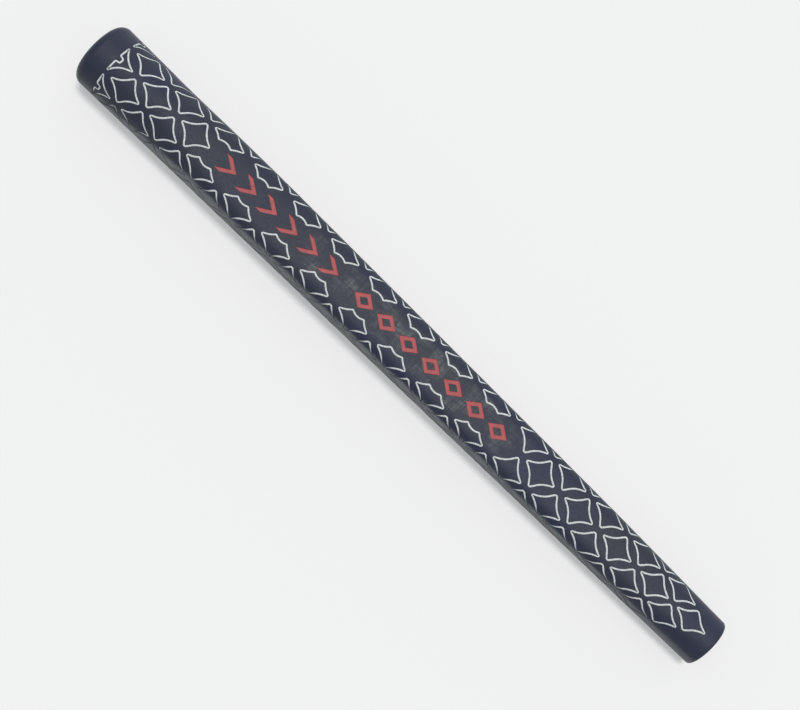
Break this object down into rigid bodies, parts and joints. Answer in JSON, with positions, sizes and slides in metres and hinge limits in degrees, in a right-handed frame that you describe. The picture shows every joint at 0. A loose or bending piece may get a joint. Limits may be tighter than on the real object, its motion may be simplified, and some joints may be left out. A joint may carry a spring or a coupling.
{
  "type": "golf putter grip",
  "caption": "Slip-on rubber putter grip with a flat front, a grooved diamond pattern, a butt cap and a blind bore for the shaft.",
  "frame": {"origin": "centre of the shaft stop, at the blind end of the shaft bore", "axes": "+X along the bore from the stop to the mouth, +Z out of the flat front, +Y to the side that completes a right-handed frame"},
  "size_m": [0.273, 0.0234, 0.0234],
  "materials": {
    "rubber": "satin moulded rubber, dark navy to black",
    "cap_rubber": "satin moulded rubber, dark navy to black",
    "outline_paint": "worn off-white filling paint",
    "mark_paint": "matt red filling paint"
  },
  "bodies": {
    "root": {"front_half": "rubber", "back_half": "rubber", "end_cap": "cap_rubber", "front_outline_paint": "outline_paint", "back_outline_paint": "outline_paint", "butt_marks_paint": "mark_paint", "tip_marks_paint": "mark_paint"}
  },
  "joints": []
}
